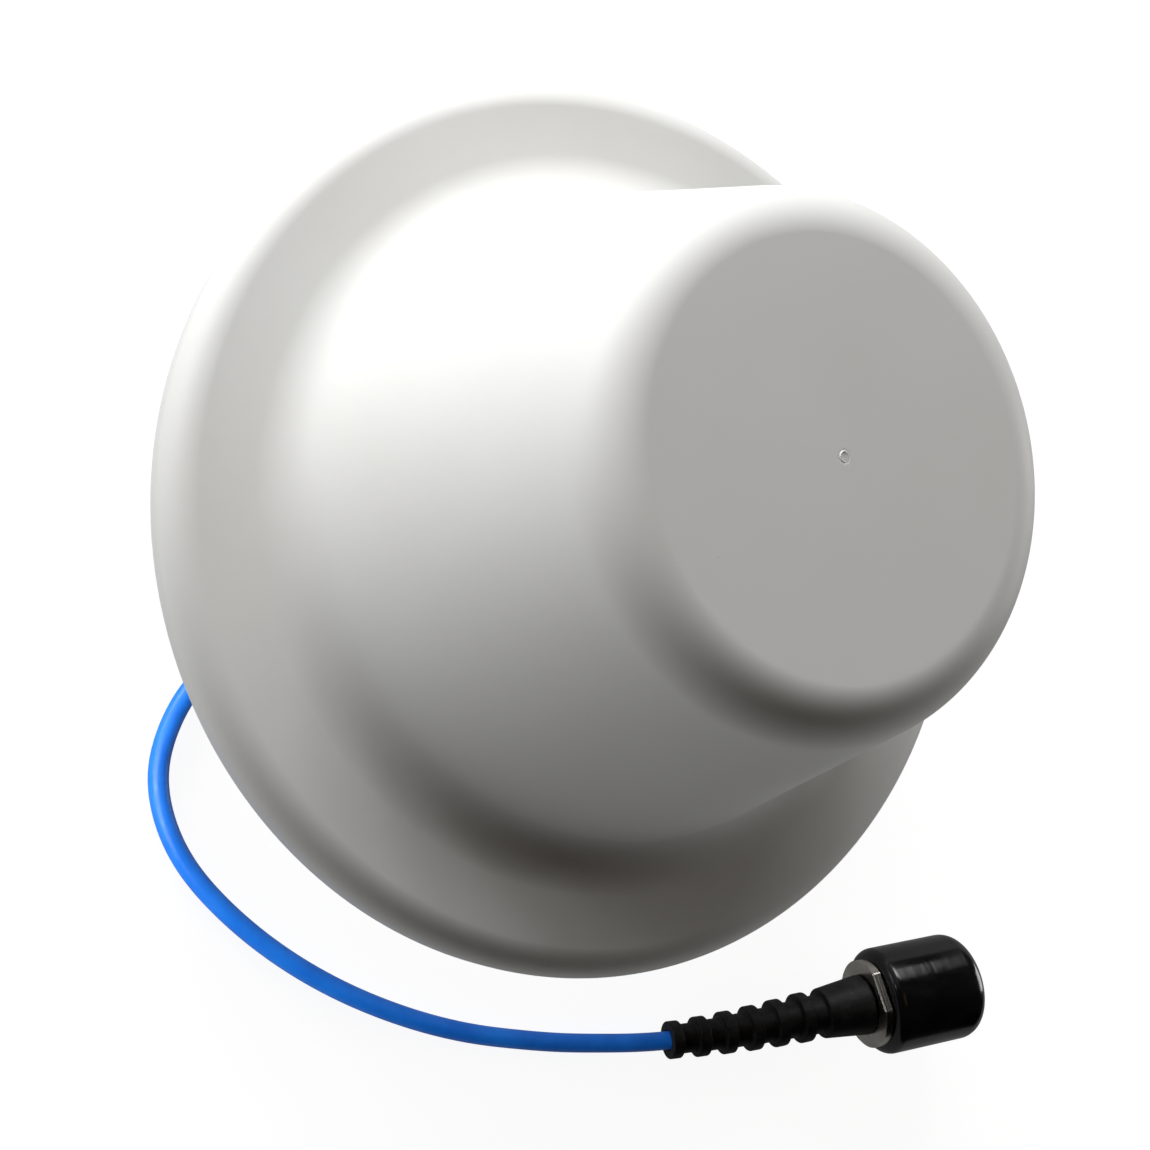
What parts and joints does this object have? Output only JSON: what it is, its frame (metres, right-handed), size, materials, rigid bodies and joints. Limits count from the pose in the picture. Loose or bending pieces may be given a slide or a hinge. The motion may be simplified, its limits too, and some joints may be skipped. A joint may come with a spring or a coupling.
{
  "type": "ceiling dome antenna",
  "caption": "White truncated-cone dome antenna with a wide round flange, a hollow threaded mounting stem and nut, and a blue coax pigtail ending in a capped jack.",
  "frame": {"origin": "centre of the mounting stem's open end, which is the lowest point of the antenna, on the radome's axis", "axes": "+Z along the radome's axis from the stem to the flat front, -Y towards the stem's cable slot"},
  "size_m": [0.2322, 0.1904, 0.113],
  "materials": {
    "white_plastic": "matt off-white moulded plastic with a fine texture",
    "stem_plastic": "satin white moulded plastic",
    "aluminium": "mill-finish aluminium sheet",
    "steel": "zinc-plated steel",
    "brass": "bare brass",
    "nickel": "nickel-bronze plating, bright with fine turning marks",
    "ptfe": "waxy white insulator",
    "blue_jacket": "satin blue extruded jacket",
    "black_rubber": "matt black moulded rubber",
    "cap_vinyl": "glossy black dipped vinyl"
  },
  "bodies": {
    "antenna": {"radome": "white_plastic", "base_plate": "aluminium", "base_screw_1": "steel", "base_screw_2": "steel", "base_screw_3": "steel", "base_screw_4": "steel", "base_screw_5": "steel", "base_screw_6": "steel", "mounting_stem": "stem_plastic", "stem_screw_1": "steel", "stem_screw_2": "steel", "stem_screw_3": "steel", "stem_screw_4": "steel", "feed_ferrule": "brass", "feed_pin": "brass", "cone_insulator": "ptfe", "radiator_cone": "brass", "top_disc": "aluminium", "shorting_post_1": "brass", "shorting_post_2": "brass", "shorting_post_3": "brass", "coax_lead": "blue_jacket", "strain_relief_boot": "black_rubber", "crimp_sleeve": "nickel", "jack_body": "nickel", "jack_insulator": "ptfe", "jack_contact": "brass", "jack_gasket": "black_rubber"},
    "washer": {"mounting_washer": "steel"},
    "nut": {"mounting_nut": "stem_plastic"},
    "cap": {"dust_cap": "cap_vinyl"}
  },
  "joints": [
    {"name": "washer_slide", "type": "slide", "parent": "antenna", "child": "washer", "axis": [0, 0, -1], "range_m": [0, 0.012]},
    {"name": "nut_spin", "type": "hinge", "parent": "washer", "child": "nut", "pos_m": [0, 0, 0.0231], "axis": [0, 0, -1], "range_deg": [0, 2160.5]},
    {"name": "cap_slide", "type": "slide", "parent": "antenna", "child": "cap", "axis": [0.1086, 0.9835, 0.1447], "range_m": [0, 0.024]}
  ],
  "couplings": [
    {"joint": "nut_spin", "follows": "washer_slide", "rad_per_m": 3141.6}
  ]
}
